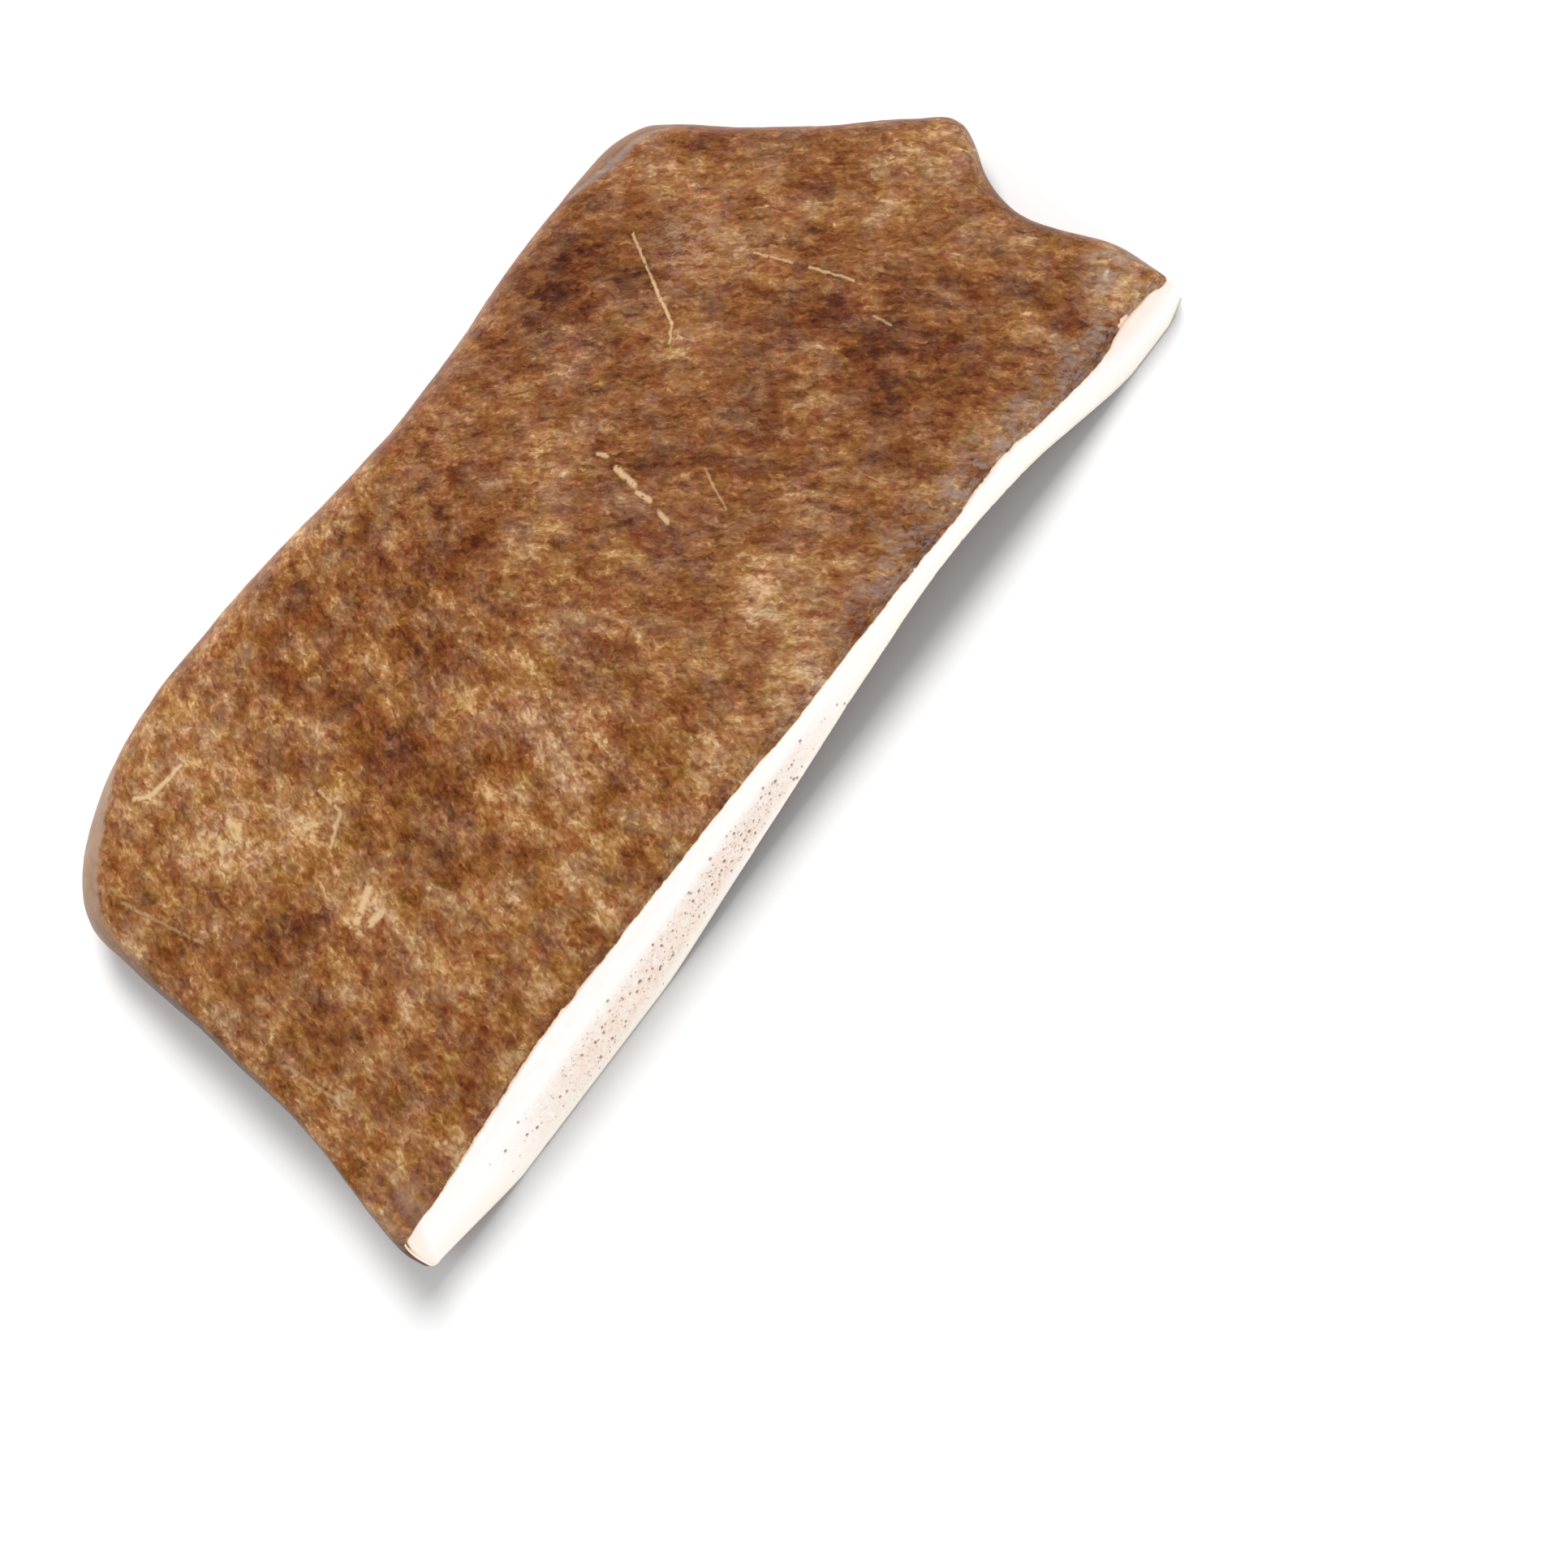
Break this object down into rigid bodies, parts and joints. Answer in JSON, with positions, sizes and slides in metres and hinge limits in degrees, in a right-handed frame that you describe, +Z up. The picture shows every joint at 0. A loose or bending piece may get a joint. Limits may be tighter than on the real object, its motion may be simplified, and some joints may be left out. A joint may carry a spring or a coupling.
{
  "type": "deer antler dog chew",
  "caption": "Flat piece of fallow deer antler palm for a dog to chew: bark on both faces, rounded natural edges and a long sawn side showing pale bone.",
  "frame": {"origin": "under the middle of the plate, on the surface that it rests on", "axes": "+X along the saw cut from the butt end to the tine end, +Y from the saw cut to the rounded far edge, +Z up through the plate's thickness"},
  "size_m": [0.1618, 0.0812, 0.0157],
  "materials": {
    "antler": "mottled brown antler bark with a low natural sheen, and a sanded off-white saw cut with fine dark pores"
  },
  "bodies": {
    "root": {"antler_palm": "antler"}
  },
  "joints": []
}
